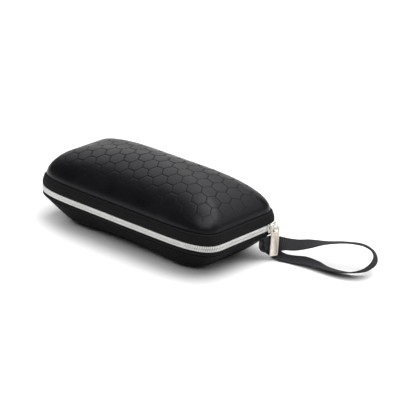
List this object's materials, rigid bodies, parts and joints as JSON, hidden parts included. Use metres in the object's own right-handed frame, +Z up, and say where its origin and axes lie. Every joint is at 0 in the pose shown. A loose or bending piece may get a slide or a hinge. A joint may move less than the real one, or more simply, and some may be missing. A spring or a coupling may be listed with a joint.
{
  "type": "eyeglasses case",
  "caption": "Arched hard clamshell eyeglasses case with a zipper round three sides, a cloth hinge, a bar puller and a ribbon wrist strap.",
  "frame": {"origin": "middle of the case in plan, slider and puller included and wrist strap left out, on the plane it stands on", "axes": "+X towards the closed end of the zipper, +Y towards the cloth hinge, +Z up"},
  "size_m": [0.2338, 0.0997, 0.0577],
  "materials": {
    "foam": "matte",
    "cover": "satin",
    "lining": "matte",
    "tape": "matte",
    "binding": "matte",
    "teeth": "satin",
    "metal": "satin",
    "strap": "matte"
  },
  "bodies": {
    "base": {"lower_shell": "foam", "lower_lining": "lining", "lower_tape": "tape", "lower_teeth": "teeth", "lower_binding": "binding", "hinge_lower": "tape", "stop_lower_right": "metal", "stop_lower_left": "metal", "wrist_strap": "strap"},
    "lid": {"upper_shell": "foam", "upper_cover": "cover", "upper_lining": "lining", "upper_tape": "tape", "upper_teeth": "teeth", "upper_binding": "binding", "hinge_upper": "tape", "stop_upper_right": "metal", "stop_upper_left": "metal"},
    "slider": {"slider_body": "metal", "slider_bail": "metal"},
    "link": {"puller_link": "metal"},
    "puller": {"puller": "metal"}
  },
  "joints": [
    {"name": "lid_hinge", "type": "hinge", "parent": "base", "child": "lid", "pos_m": [-0.0034, 0.03965, 0.0228], "axis": [-1, 0, 0], "range_deg": [0, 110]},
    {"name": "slider_travel", "type": "slide", "parent": "base", "child": "slider", "axis": [0, -1, 0], "range_m": [0, 0.044]},
    {"name": "link_swing", "type": "hinge", "parent": "slider", "child": "link", "pos_m": [0.0827, 0.0242, 0.026], "axis": [0, -1, 0], "range_deg": [0, 60]},
    {"name": "puller_swing", "type": "hinge", "parent": "link", "child": "puller", "pos_m": [0.0833, 0.0242, 0.02415], "axis": [0, -1, 0], "range_deg": [0, 80]}
  ]
}
